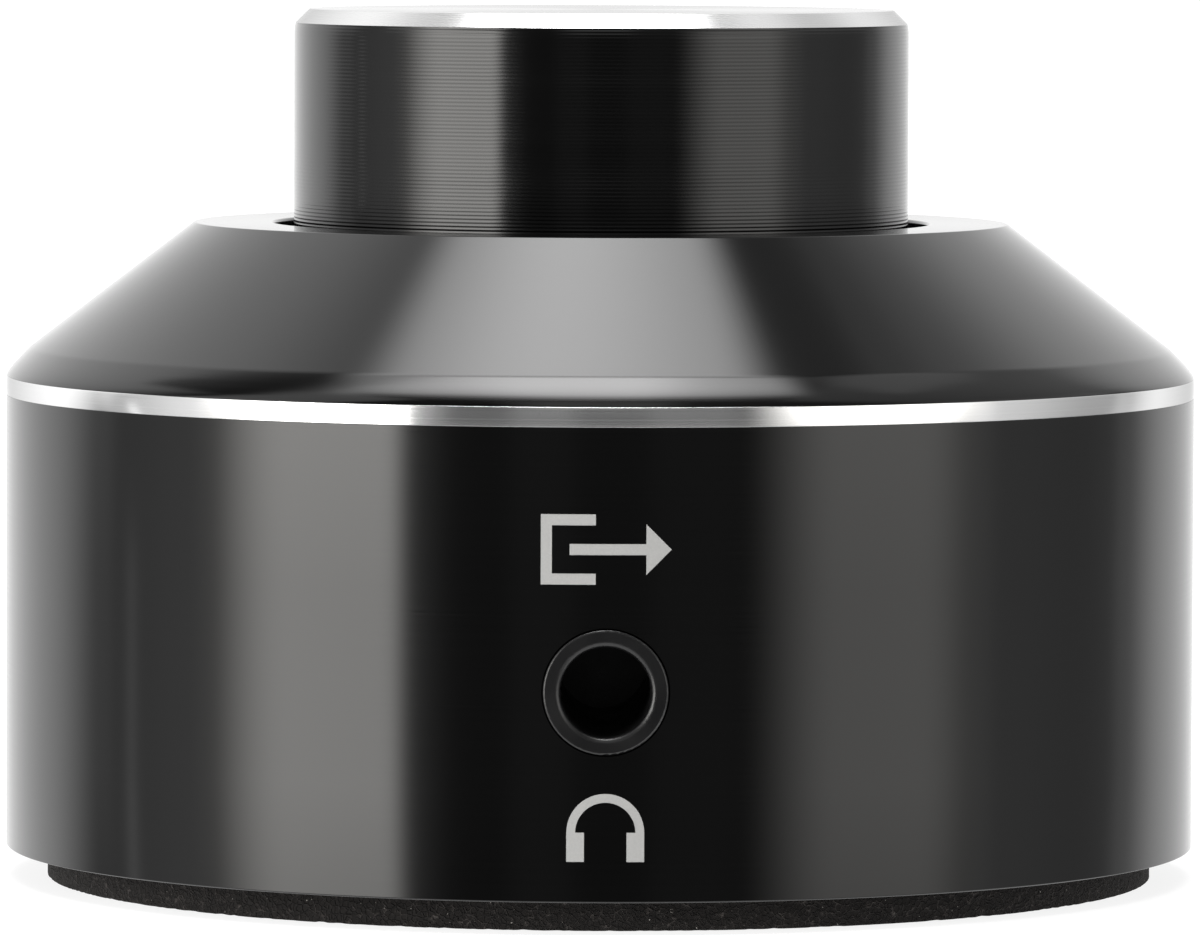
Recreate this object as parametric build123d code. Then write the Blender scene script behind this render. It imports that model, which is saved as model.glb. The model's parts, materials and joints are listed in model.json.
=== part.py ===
from build123d import *
import math
import os

# Desk volume control: a turned knob on a dual potentiometer, in a round metal case with two sockets.
# Millimetres. The origin is the centre of the pad's underside, +Z is up, the output socket faces -Y.

# Case
body_radius = 25.0
body_wall = 2.5
body_bottom_break = 0.14
ring_height = 0.8
ring_edge_break = 0.08
rebate_lip = 1.0
base_thickness = 1.5
pad_thickness = 1.3
pad_margin = 0.25

# Cover
cover_height = 6.43
cover_land = 3.33
cover_edge_inset = 1.07
cover_edge_rise = 1.2
cover_edge_top_deg = 41.0
cover_edge_foot_deg = 76.0
cover_reveal = 0.03
cover_rim_break = 0.12
cover_floor = 2.0
mount_drop = 1.45
spigot_depth = 2.85
spigot_wall = 2.0

# Knob
knob_radius = 12.92
knob_chamfer = 0.58
knob_crown = 1.54
knob_float = 0.6
knob_foot_break = 0.3
knob_pocket_radius = 8.5
recess_gap = 0.85

# Knob insert and its leaf spring
insert_wall = 2.0
insert_flange_step = 1.2
insert_flange_height = 0.8
insert_clear = 0.3
leaf_thickness = 0.3
leaf_width = 3.4
leaf_length = 5.0

# Shaft, bushing and nut
shaft_radius = 3.0
shaft_length = 15.0
shaft_flat_depth = 1.5
shaft_tip_gap = 0.3
shaft_tip_break = 0.4
collar_step = 0.7
collar_height = 0.7
collar_play = 0.1
drive_radius = 2.0
drive_flats = 3.0
pilot_radius = 1.5
pilot_length = 0.8
groove_depth = 0.6
clip_thickness = 0.45
clip_width = 1.9
clip_mouth = 3.0
bush_wall = 0.45
bush_length = 7.0
bush_shoulder_step = 0.9
bush_shoulder_height = 0.5
washer_thickness = 0.5
washer_overhang = 0.6
nut_wall = 1.5
nut_height = 2.0

# Potentiometer
deck_height = 4.8
deck_roof = 1.6
deck_wall = 0.7
wafer_thickness = 1.0
wafer_shaft_gap = 0.3
frame_thickness = 0.8
frame_side = 0.6
frame_leg_width = 6.0
frame_tab_width = 2.0
rotor_headroom = 0.2
rotor_rim_gap = 1.1
lug_gap = 0.2
stop_gap = 0.15
stop_width_deg = 24.0
wiper_space = 0.75
wiper_thickness = 0.2
brush_lift = 0.05
brush_length = 0.7
brush_width = 0.5
terminal_width = 0.8
terminal_thickness = 0.3
terminal_pitch = 1.6
terminal_head = 0.6
terminal_count = 6

# Boards and wire links
board_thickness = 1.6
board_margin = 0.9
board_wall_gap = 0.4
board_room = 2.8
pin_tail = 1.0
pin_hole_gap = 0.12
link_radius = 0.3
link_span = 1.6
link_drop = 0.7
link_pitch = 3.0
link_count = 4

# Sockets for a 3.5 mm plug
jack_width = 6.4
jack_height = 5.0
jack_length = 12.0
jack_wall_gap = 0.1
jack_back_wall = 0.6
nose_radius = 2.5
nose_proud = 0.06
nose_edge_round = 0.09
nose_hole_gap = 0.05
plug_bore_radius = 1.8
plug_lead_round = 0.25
contact_thickness = 0.25
contact_bore_gap = 0.06
contact_height = 1.0
contact_length = 2.6
contact_window_gap = 0.15
contact_tab_width = 1.2
contact_foot = 1.3
sleeve_offset = 2.2
ring_offset = 6.2
tip_offset = 10.0

# Pillars and screws
pillar_flats = 5.0
pillar_margin = 0.9
pillar_angle_deg = 35.0
pillar_hole_depth = 7.0
pillar_play = 0.05
stud_skin = 0.3
screw_radius = 1.22
screw_head_radius = 2.3
screw_head_land = 0.15
screw_reach = 5.0
screw_socket_flats = 1.5
screw_socket_depth = 0.7

# Clearances
slide_fit = 0.05
close_fit = 0.03

# Heights, from the pad up through what the case holds
z_body_bottom = pad_thickness
z_base_top = z_body_bottom + base_thickness
z_board_bottom = z_base_top + board_room
z_board_top = z_board_bottom + board_thickness
z_lower_deck = z_board_top + wafer_thickness
z_upper_wafer = z_lower_deck + deck_height
z_upper_deck = z_upper_wafer + wafer_thickness
z_deck_top = z_upper_deck + deck_height
z_mount = z_deck_top + frame_thickness
z_seat = z_mount + mount_drop
z_body_top = z_seat - ring_height
z_cover_top = z_seat + cover_height
z_recess_floor = z_mount + cover_floor
z_bush_top = z_mount + bush_length
z_clip_bottom = z_bush_top + collar_play
z_clip_top = z_clip_bottom + clip_thickness
z_pocket_top = z_clip_top + insert_clear + insert_flange_height
z_shaft_top = z_mount + shaft_length
z_knob_bore_top = z_shaft_top + shaft_tip_gap
z_knob_top = z_knob_bore_top + knob_crown
z_knob_bottom = z_recess_floor + knob_float
z_shoulder = z_deck_top - bush_shoulder_height
z_collar_top = z_shoulder - collar_play
z_collar_bottom = z_collar_top - collar_height
z_pilot_bottom = z_lower_deck - pilot_length
z_pin_end = z_board_bottom - pin_tail
z_jack = z_board_top + jack_height / 2

# Radii and places
bore_radius = body_radius - body_wall
rebate_radius = bore_radius + rebate_lip
pad_radius = rebate_radius - pad_margin
spigot_radius = bore_radius - slide_fit
spigot_inner_radius = spigot_radius - spigot_wall
recess_radius = knob_radius + recess_gap
cover_top_radius = recess_radius + cover_land
bush_bore_radius = shaft_radius + slide_fit
bush_radius = bush_bore_radius + bush_wall
bush_shoulder_radius = bush_radius + bush_shoulder_step
collar_radius = shaft_radius + collar_step
insert_radius = shaft_radius + close_fit + insert_wall
shaft_flat = shaft_radius - shaft_flat_depth
groove_radius = shaft_radius - groove_depth
nut_flats = 2 * (bush_radius + nut_wall)
cavity_radius = bush_shoulder_radius - stop_gap
pot_half = cavity_radius + deck_wall
rotor_radius = cavity_radius - rotor_rim_gap
jack_front = math.sqrt(bore_radius**2 - (jack_width / 2) ** 2) - jack_wall_gap
jack_rear = jack_front - jack_length
nose_face = body_radius + nose_proud
nose_length = nose_face - jack_front
plug_depth = nose_face - jack_rear - jack_back_wall
board_half_width = pot_half + frame_side + board_margin
board_radius = bore_radius - board_wall_gap
board_split = (pot_half + jack_rear) / 2
pillar_corner = pillar_flats / math.sqrt(3)
pillar_circle = spigot_inner_radius - pillar_corner - pillar_margin
stud_length = cover_floor - stud_skin
terminal_columns = [(number - (terminal_count - 1) / 2) * terminal_pitch for number in range(terminal_count)]
link_columns = [(number - (link_count - 1) / 2) * link_pitch for number in range(link_count)]
link_rows = [board_split - link_span / 2, board_split + link_span / 2]
contact_layout = [(sleeve_offset, -1), (ring_offset, -1), (tip_offset, 1)]
lower_columns = terminal_columns[0::2]
upper_columns = terminal_columns[1::2]
pillar_x = pillar_circle * math.cos(math.radians(pillar_angle_deg))
pillar_y = pillar_circle * math.sin(math.radians(pillar_angle_deg))
pillar_places = GridLocations(2 * pillar_x, 2 * pillar_y, 2, 2)
rear_side = Rot(0, 0, 180)


# Shared shapes
def disc(radius, low, high):
    """A cylinder on the Z axis between two heights."""
    return Pos(0, 0, low) * Cylinder(radius, high - low, align=(Align.CENTER, Align.CENTER, Align.MIN))


def block(low, high):
    """A box between two corners."""
    size = [top - bottom for bottom, top in zip(low, high)]
    return Pos(*low) * Box(*size, align=Align.MIN)


def turned(*points):
    """A closed (radius, height) outline turned about the Z axis."""
    return revolve(Plane.XZ * make_face(Polyline(*points, close=True)), Axis.Z)


def hexagon(flats, low, high):
    """A hexagonal prism on the Z axis."""
    outline = RegularPolygon(flats / 2, 6, major_radius=False)
    return Pos(0, 0, low) * extrude(outline, high - low)


def sector(inner, outer, middle_deg, low, high):
    """The stop-width slice of a ring."""
    reach = 2 * outer
    half = math.radians(stop_width_deg / 2)
    middle = math.radians(middle_deg)
    corners = [(reach * math.cos(middle + turn), reach * math.sin(middle + turn)) for turn in (-half, half)]
    wedge = Pos(0, 0, low) * extrude(make_face(Polyline((0, 0), *corners, close=True)), high - low)
    return wedge & (disc(outer, low, high) - disc(inner, low, high))


def outward(shape):
    """Moves a shape turned about Z so that its axis is the socket's, with height 0 at the nose's face."""
    return Pos(0, -nose_face, z_jack) * Rot(90, 0, 0) * shape


# Case
def foam_pad():
    return disc(pad_radius, 0, pad_thickness)


def screw_outline(gap, top):
    """Outline of a countersunk screw with a gap all round, up to a height."""
    head = screw_head_radius + gap
    neck = screw_radius + gap
    cone_low = z_body_bottom + screw_head_land
    return [
        (0, z_body_bottom),
        (head, z_body_bottom),
        (head, cone_low),
        (neck, cone_low + head - neck),
        (neck, top),
        (0, top),
    ]


def base_plate():
    plate = disc(rebate_radius - slide_fit, z_body_bottom, z_base_top)
    holes = pillar_places * turned(*screw_outline(slide_fit, z_base_top + screw_reach))
    return plate - holes


def base_screws():
    screw = turned(*screw_outline(0, z_base_top + screw_reach))
    screw -= hexagon(screw_socket_flats, z_body_bottom, z_body_bottom + screw_socket_depth)
    return Compound(children=pillar_places * screw)


def cover_standoffs():
    foot = z_base_top + pillar_play
    pillar = hexagon(pillar_flats, foot, z_mount)
    pillar -= disc(screw_radius + close_fit, foot, foot + pillar_hole_depth)
    pillar += disc(screw_radius, z_mount, z_mount + stud_length)
    return Compound(children=pillar_places * pillar)


def lower_body():
    wall = turned(
        (rebate_radius, z_body_bottom),
        (body_radius - body_bottom_break, z_body_bottom),
        (body_radius, z_body_bottom + body_bottom_break),
        (body_radius, z_body_top - ring_edge_break),
        (body_radius - ring_edge_break, z_body_top),
        (bore_radius, z_body_top),
        (bore_radius, z_base_top),
        (rebate_radius, z_base_top),
    )
    nose_hole = outward(disc(nose_radius + nose_hole_gap, -body_radius, body_wall))
    return wall - nose_hole - rear_side * nose_hole


def trim_ring():
    return turned(
        (bore_radius, z_body_top),
        (body_radius - ring_edge_break, z_body_top),
        (body_radius, z_body_top + ring_edge_break),
        (body_radius, z_seat - ring_edge_break),
        (body_radius - ring_edge_break, z_seat),
        (bore_radius, z_seat),
    )


def slopes_meet(upper, upper_deg, lower, lower_deg):
    """Where a line that falls outwards from the upper point meets one that rises from the lower point."""
    upper_fall = math.tan(math.radians(upper_deg))
    lower_fall = math.tan(math.radians(lower_deg))
    drop = upper[1] - lower[1]
    radius = (lower_fall * lower[0] - upper_fall * upper[0] - drop) / (lower_fall - upper_fall)
    return radius, upper[1] - upper_fall * (radius - upper[0])


def top_cover():
    rim = (cover_top_radius, z_cover_top - cover_rim_break)
    crease = (body_radius - cover_edge_inset, z_seat + cover_edge_rise)
    edge = (body_radius - cover_reveal, z_seat)
    rounded = Bezier(crease, slopes_meet(crease, cover_edge_top_deg, edge, cover_edge_foot_deg), edge)
    bush_hole = bush_radius + slide_fit
    outline = Polyline(
        edge,
        (spigot_radius, z_seat),
        (spigot_radius, z_seat - spigot_depth),
        (spigot_inner_radius, z_seat - spigot_depth),
        (spigot_inner_radius, z_mount),
        (bush_hole, z_mount),
        (bush_hole, z_recess_floor),
        (recess_radius, z_recess_floor),
        (recess_radius, z_cover_top - cover_rim_break),
        (recess_radius + cover_rim_break, z_cover_top),
        (cover_top_radius - cover_rim_break, z_cover_top),
        rim,
        crease,
    )
    shell = revolve(Plane.XZ * make_face(outline.edges() + rounded.edges()), Axis.Z)
    stud_hole = disc(screw_radius + close_fit, z_mount, z_mount + stud_length + close_fit)
    return shell - pillar_places * stud_hole


# Knob and what turns with it
def knob():
    return turned(
        (knob_pocket_radius, z_knob_bottom),
        (knob_radius - knob_foot_break, z_knob_bottom),
        (knob_radius, z_knob_bottom + knob_foot_break),
        (knob_radius, z_knob_top - knob_chamfer),
        (knob_radius - knob_chamfer, z_knob_top),
        (0, z_knob_top),
        (0, z_knob_bore_top),
        (insert_radius + close_fit, z_knob_bore_top),
        (insert_radius + close_fit, z_pocket_top),
        (knob_pocket_radius, z_pocket_top),
    )


def flat_side(low, high, gap):
    """What the shaft's flat takes away, past a gap."""
    start = shaft_flat + gap
    return block((start, -shaft_radius, low), (2 * shaft_radius, shaft_radius, high))


def knob_insert():
    low = z_pocket_top - insert_flange_height
    high = z_knob_bore_top - close_fit
    body = disc(insert_radius, low, high)
    body += disc(insert_radius + insert_flange_step, low, z_pocket_top)
    shaft_bore = disc(shaft_radius + close_fit, low, high) - flat_side(low, high, close_fit)
    slot_half = leaf_width / 2 + close_fit
    slot_depth = shaft_flat + leaf_thickness + 3 * close_fit
    slot = block((shaft_flat, -slot_half, low), (slot_depth, slot_half, low + leaf_length + close_fit))
    return body - shaft_bore - slot


def knob_spring():
    low = z_pocket_top - insert_flange_height
    near = shaft_flat + close_fit
    half = leaf_width / 2
    return block((near, -half, low), (near + leaf_thickness, half, low + leaf_length))


def drive_section(low, high, gap):
    """The shaft's lower length, with two flats, that drives the rotors."""
    half = drive_flats / 2 + gap
    reach = 2 * drive_radius
    return disc(drive_radius + gap, low, high) & block((-reach, -half, low), (reach, half, high))


def pot_shaft():
    shaft = turned(
        (0, z_collar_bottom),
        (collar_radius, z_collar_bottom),
        (collar_radius, z_collar_top),
        (shaft_radius, z_collar_top),
        (shaft_radius, z_clip_bottom),
        (groove_radius, z_clip_bottom),
        (groove_radius, z_clip_top),
        (shaft_radius, z_clip_top),
        (shaft_radius, z_shaft_top - shaft_tip_break),
        (shaft_radius - shaft_tip_break, z_shaft_top),
        (0, z_shaft_top),
    )
    shaft -= flat_side(z_clip_top + insert_clear, z_shaft_top, 0)
    shaft += drive_section(z_lower_deck, z_collar_bottom, 0)
    return shaft + disc(pilot_radius, z_pilot_bottom, z_lower_deck)


def shaft_clip():
    inner = groove_radius + close_fit
    outer = groove_radius + clip_width
    low = z_clip_bottom + close_fit
    high = z_clip_top - close_fit
    ring = disc(outer, low, high) - disc(inner, low, high)
    return ring - block((0, -clip_mouth / 2, low), (2 * outer, clip_mouth / 2, high))


def pot_rotor(deck_low):
    low = deck_low + wiper_space
    high = deck_low + deck_height - deck_roof - rotor_headroom
    hub = disc(rotor_radius, low, high) - drive_section(low, high, close_fit)
    return hub + sector(drive_radius + wafer_shaft_gap, cavity_radius - lug_gap, -90, low, high)


def wiper(deck_low):
    high = deck_low + wiper_space
    low = high - wiper_thickness
    outer = rotor_radius
    spring = disc(outer, low, high) - disc(drive_radius + wafer_shaft_gap, low, high)
    for side in (-1, 1):
        middle = side * (outer - brush_length / 2)
        near = (middle - brush_length / 2, -brush_width / 2, deck_low + brush_lift)
        far = (middle + brush_length / 2, brush_width / 2, low)
        spring += block(near, far) & disc(outer, near[2], far[2])
    return spring


# Potentiometer, fixed pieces
def pot_bushing():
    bush = disc(bush_radius, z_shoulder, z_bush_top) + disc(bush_shoulder_radius, z_shoulder, z_deck_top)
    return bush - disc(bush_bore_radius, z_shoulder, z_bush_top)


def pot_washer():
    high = z_recess_floor + washer_thickness
    rim = disc(nut_flats / 2 + washer_overhang, z_recess_floor, high)
    return rim - disc(bush_radius + slide_fit, z_recess_floor, high)


def pot_nut():
    low = z_recess_floor + washer_thickness
    high = low + nut_height
    return hexagon(nut_flats, low, high) - disc(bush_radius + close_fit, low, high)


def pot_frame():
    outer = pot_half + frame_side
    yoke = block((-outer, -pot_half, z_deck_top), (outer, pot_half, z_mount))
    yoke -= disc(bush_radius + close_fit, z_deck_top, z_mount)
    leg = block((pot_half, -frame_leg_width / 2, z_board_top), (outer, frame_leg_width / 2, z_deck_top))
    leg += block((pot_half, -frame_tab_width / 2, z_pin_end), (outer, frame_tab_width / 2, z_board_top))
    return yoke + leg + mirror(leg, Plane.YZ)


def pot_deck(low):
    high = low + deck_height
    roof = high - deck_roof
    cup = block((-pot_half, -pot_half, low), (pot_half, pot_half, high))
    cup -= disc(cavity_radius, low, roof)
    cup -= disc(collar_radius + lug_gap, low, high)
    cup -= disc(bush_shoulder_radius + slide_fit, high - bush_shoulder_height, high)
    return cup + sector(rotor_radius + stop_gap, cavity_radius + deck_wall / 2, 90, low, roof)


def terminal_head_block(x, low, gap):
    """The end of a terminal that is riveted in the front edge of a wafer."""
    half = terminal_width / 2 + gap
    near = (x - half, -pot_half, low)
    return block(near, (x + half, -pot_half + terminal_head + gap, low + wafer_thickness))


def track_wafer(low, hole_radius, columns):
    high = low + wafer_thickness
    plate = block((-pot_half, -pot_half, low), (pot_half, pot_half, high)) - disc(hole_radius, low, high)
    for x in columns:
        plate -= terminal_head_block(x, low, close_fit)
    return plate


def pot_terminals():
    pins = []
    for low, columns in ((z_board_top, lower_columns), (z_upper_wafer, upper_columns)):
        for x in columns:
            near = (x - terminal_width / 2, -pot_half - terminal_thickness, z_pin_end)
            leg = block(near, (x + terminal_width / 2, -pot_half, low + wafer_thickness))
            pins.append(leg + terminal_head_block(x, low, 0))
    return Compound(children=pins)


# Boards
def board_outline():
    """Both boards in one, cut to the case's bore and pierced for pins."""
    strip = Rectangle(2 * board_half_width, 2 * board_radius) & Circle(board_radius)
    board = Pos(0, 0, z_board_bottom) * extrude(strip, board_thickness)
    half = terminal_width / 2 + pin_hole_gap
    for x in terminal_columns:
        near = (x - half, -pot_half - terminal_thickness - pin_hole_gap, z_board_bottom)
        board -= block(near, (x + half, -pot_half + pin_hole_gap, z_board_top))
    half = frame_tab_width / 2 + pin_hole_gap
    near = (pot_half - pin_hole_gap, -half, z_board_bottom)
    slot = block(near, (pot_half + frame_side + pin_hole_gap, half, z_board_top))
    board -= slot + mirror(slot, Plane.YZ)
    for x in link_columns:
        for y in link_rows:
            board -= Pos(x, y, 0) * disc(link_radius + pin_hole_gap, z_board_bottom, z_board_top)
    return board


def main_board():
    edge = block((-body_radius, board_split, z_board_bottom), (body_radius, body_radius, z_board_top))
    return board_outline() - edge


def input_board():
    edge = block((-body_radius, -body_radius, z_board_bottom), (body_radius, board_split, z_board_top))
    return board_outline() - edge


def board_links():
    """Wire staples under the boards, with their ends flush on top."""
    near, far = link_rows
    low = z_board_bottom - link_drop
    links = []
    for x in link_columns:
        corners = [(x, near, z_board_top), (x, near, low), (x, far, low), (x, far, z_board_top)]
        path = FilletPolyline(*corners, radius=2 * link_radius)
        links.append(sweep(Pos(*corners[0]) * Circle(link_radius), path=path))
    return Compound(children=links)


# Sockets
def jack_housing():
    half = jack_width / 2
    shell = block((-half, -jack_front, z_board_top), (half, -jack_rear, z_board_top + jack_height))
    nose_root = -nose_length - jack_back_wall
    nose = turned((0, nose_root), (nose_radius, nose_root), (nose_radius, 0), (0, 0))
    bore = turned((0, -plug_depth), (plug_bore_radius, -plug_depth), (plug_bore_radius, 0), (0, 0))
    shell += outward(nose)
    shell -= outward(bore)
    for edge_number, round_radius in ((0, plug_lead_round), (-1, nose_edge_round)):
        front_edges = shell.edges().group_by(Axis.Y)[0].sort_by(SortBy.RADIUS)
        shell = fillet(front_edges[edge_number], round_radius)
    for offset, side in contact_layout:
        shell -= contact_window(offset, side)
    return shell


def contact_window(offset, side):
    y = offset - jack_front
    length = contact_length / 2 + contact_window_gap
    height = contact_height / 2 + contact_window_gap
    near = (plug_bore_radius / 2, y - length, z_jack - height)
    window = block(near, (jack_width, y + length, z_jack + height))
    return window if side > 0 else mirror(window, Plane.YZ)


def contact(offset, side):
    y = offset - jack_front
    inner = plug_bore_radius + contact_bore_gap
    outer = jack_width / 2 + contact_window_gap
    finger_half = contact_length / 2
    tab_half = contact_tab_width / 2
    high = contact_height / 2
    middle = contact_thickness / 2
    finger = block(
        (inner, y - finger_half, z_jack - high), (inner + contact_thickness, y + finger_half, z_jack + high)
    )
    bridge = block(
        (inner, y - tab_half, z_jack - middle), (outer + contact_thickness, y + tab_half, z_jack + middle)
    )
    drop = block(
        (outer, y - tab_half, z_board_top), (outer + contact_thickness, y + tab_half, z_jack + middle)
    )
    foot_top = z_board_top + contact_thickness
    foot = block((outer, y - tab_half, z_board_top), (outer + contact_foot, y + tab_half, foot_top))
    strip = finger + bridge + drop + foot
    return strip if side > 0 else mirror(strip, Plane.YZ)


def jack_contacts():
    return Compound(children=[contact(offset, side) for offset, side in contact_layout])


nodes = {
    "foam_pad": foam_pad(),
    "base_plate": base_plate(),
    "base_screws": base_screws(),
    "cover_standoffs": cover_standoffs(),
    "lower_body": lower_body(),
    "trim_ring": trim_ring(),
    "top_cover": top_cover(),
    "knob": knob(),
    "knob_insert": knob_insert(),
    "knob_spring": knob_spring(),
    "pot_shaft": pot_shaft(),
    "shaft_clip": shaft_clip(),
    "upper_pot_rotor": pot_rotor(z_upper_deck),
    "lower_pot_rotor": pot_rotor(z_lower_deck),
    "upper_wiper": wiper(z_upper_deck),
    "lower_wiper": wiper(z_lower_deck),
    "pot_bushing": pot_bushing(),
    "pot_washer": pot_washer(),
    "pot_nut": pot_nut(),
    "pot_frame": pot_frame(),
    "upper_pot_deck": pot_deck(z_upper_deck),
    "lower_pot_deck": pot_deck(z_lower_deck),
    "upper_track_wafer": track_wafer(z_upper_wafer, drive_radius + wafer_shaft_gap, upper_columns),
    "lower_track_wafer": track_wafer(z_board_top, pilot_radius + slide_fit, lower_columns),
    "pot_terminals": pot_terminals(),
    "main_board": main_board(),
    "input_board": input_board(),
    "board_links": board_links(),
    "output_jack_housing": jack_housing(),
    "output_jack_contacts": jack_contacts(),
    "input_jack_housing": rear_side * jack_housing(),
    "input_jack_contacts": rear_side * jack_contacts(),
}

os.makedirs("parts", exist_ok=True)
for name, shape in nodes.items():
    export_step(shape, f"parts/{name}.step")
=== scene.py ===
import json
import math

import bmesh
import bpy
from mathutils import Matrix, Vector, noise


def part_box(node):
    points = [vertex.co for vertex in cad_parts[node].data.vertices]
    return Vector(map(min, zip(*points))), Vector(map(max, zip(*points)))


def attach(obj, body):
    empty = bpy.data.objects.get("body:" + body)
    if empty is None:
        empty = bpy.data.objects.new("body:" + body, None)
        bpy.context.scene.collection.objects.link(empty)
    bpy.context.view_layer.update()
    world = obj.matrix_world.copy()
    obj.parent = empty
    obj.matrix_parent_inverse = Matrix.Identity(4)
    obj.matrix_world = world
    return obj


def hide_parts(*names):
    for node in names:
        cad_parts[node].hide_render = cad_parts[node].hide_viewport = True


# Desk volume control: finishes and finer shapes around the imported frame, in metres.
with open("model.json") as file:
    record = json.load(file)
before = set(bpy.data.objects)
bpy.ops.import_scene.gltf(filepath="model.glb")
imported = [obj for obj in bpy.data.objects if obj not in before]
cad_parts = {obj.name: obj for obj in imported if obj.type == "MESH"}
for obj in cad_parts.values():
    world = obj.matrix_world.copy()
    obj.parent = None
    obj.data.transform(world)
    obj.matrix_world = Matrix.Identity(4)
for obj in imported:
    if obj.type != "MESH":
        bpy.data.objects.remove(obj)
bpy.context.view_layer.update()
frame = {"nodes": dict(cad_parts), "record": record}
nodes = frame["nodes"]

MM = 0.001

# Places taken from the frame
BODY_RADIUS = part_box("lower_body")[1].x
BODY_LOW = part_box("lower_body")[0].z
BODY_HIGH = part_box("lower_body")[1].z
BASE_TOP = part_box("base_plate")[1].z
BASE_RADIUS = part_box("base_plate")[1].x
RING_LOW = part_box("trim_ring")[0].z
RING_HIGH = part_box("trim_ring")[1].z
COVER_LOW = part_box("top_cover")[0].z
COVER_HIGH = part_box("top_cover")[1].z
KNOB_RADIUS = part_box("knob")[1].x
KNOB_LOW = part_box("knob")[0].z
KNOB_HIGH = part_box("knob")[1].z
PAD_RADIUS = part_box("foam_pad")[1].x
PAD_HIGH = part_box("foam_pad")[1].z
INSERT_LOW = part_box("knob_insert")[0].z
INSERT_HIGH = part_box("knob_insert")[1].z
WASHER_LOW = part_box("pot_washer")[0].z
FRAME_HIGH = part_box("pot_frame")[1].z
JACK_HEIGHT = (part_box("output_jack_housing")[0].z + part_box("output_jack_housing")[1].z) / 2

# Sizes of the turned shells: the wall lies a FILM inside its solid, ring and prints only a SKIN
FILM = 0.015 * MM
SKIN = 0.2 * FILM
BODY_WALL = 2.5 * MM
BODY_BREAK = 0.07 * MM
BODY_TOP_BREAK = 0.015 * MM
REBATE_GAP = 0.05 * MM
NOSE_HOLE = 2.55 * MM
HOLE_BREAK = 0.015 * MM
RING_LOW_BREAK = 0.012 * MM
RING_TOP_BREAK = 0.03 * MM
RING_CROWN = 0.02 * MM
COVER_REVEAL = 0.03 * MM
COVER_EDGE_INSET = 1.07 * MM
COVER_EDGE_RISE = 1.2 * MM
COVER_LAND = 3.33 * MM
COVER_RIM = 0.12 * MM
RECESS_GAP = 0.85 * MM
SPIGOT_GAP = 0.05 * MM
SPIGOT_WALL = 2.0 * MM
BUSH_HOLE = 3.55 * MM
KNOB_CHAMFER = 0.58 * MM
KNOB_TOP_ROUND = 0.04 * MM
KNOB_EASE_HEIGHT = 0.5 * MM
KNOB_EASE_TILT = math.radians(12)
KNOB_FOOT_BREAK = 0.3 * MM
KNOB_POCKET = 8.5 * MM
KNOB_BORE = 5.06 * MM
INSERT_FLANGE = 0.8 * MM
INSERT_GAP = 0.03 * MM

# The shoulder's slope: share of its height from the crease down, and its normal's climb in degrees
COVER_EDGE_TURN = ((0, 53), (0.1, 46.5), (0.35, 45), (0.6, 42.5), (0.8, 38), (0.93, 29), (1, 15))

# Foam disc
PAD_EDGE = 0.03 * MM
PIT_DEPTH = 0.045 * MM
PIT_SIZE = 0.4 * MM

# Printed marks, in millimetres above or below the socket's axis
MARK_STROKE = 0.44
OUT_MARK_BASE = 4.3
OUT_MARK_HEIGHT = 2.8
OUT_MARK_WIDTH = 5.2
BOX_ARM = 0.42 * OUT_MARK_WIDTH
ARROW_HEAD = 0.36 * OUT_MARK_HEIGHT
LOW_MARK_BASE = -6.75
LOW_MARK_HEIGHT = 2.72
LOW_MARK_WIDTH = 3.1
HEAD_BAND = 0.8 * MARK_STROKE
EAR_PAD = 1.6 * MARK_STROKE
MARK_SLICE = 0.25
MARK_DEPTH = 2 * FILM

# Fineness of the meshes
TURN_STEPS = 360
WINDOW_COLUMNS = 9
WINDOW_ROWS = 18
WINDOW_LOOPS = 6
ROUND_STEPS = 6
RING_STEPS = 16
SHOULDER_STEPS = 48
BAND_STEPS = 24
PAD_STEPS = 720
PAD_RIM_ROWS = 12
PAD_FACE_ROWS = 40
HOLD_REACH = 0.04 * MM
SHARP_ANGLE = math.radians(24)

# Finishes
NOISE_LOW = 0.3
NOISE_HIGH = 0.7
NOISE_FALL = 0.6
QUARTER_TURN = 0.25
BLACK_IOR = 1.45
BLACK_DARK = (0.0002, 0.0002, 0.0002)
BLACK_LIGHT = (0.001, 0.001, 0.001)
FEED_FADE = 4.5 * MM
FEED_AT_FOOT = 1.45
FEED_ABOVE = 1.22
BRIGHT_EDGE_TINT = (0.57, 0.57, 0.57, 1)
FOAM_CELL = 0.22 * MM
FOAM_GRAIN = 0.35 * MM
FOAM_DUST = 0.13 * MM
# Ramp stop and share of the painted highlight on the foam's cell walls
FOAM_PAINTED_HIGHLIGHT_STOP = 0.7
FOAM_RELIEF = 0.09 * MM
MOULD_GRAIN = 0.12 * MM
MOULD_RELIEF = 0.006 * MM
INK_GRAIN = 0.08 * MM
PLATE_GRAIN = 0.5 * MM
FINE_RELIEF = 0.004 * MM
PAPER_FIBRES = (900, 5200, 5200)
PAPER_RELIEF = 0.01 * MM
BOARD_WEAVE = 0.45 * MM
BOARD_TRACK = 3.0 * MM
BOARD_RELIEF = 0.02 * MM

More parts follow.
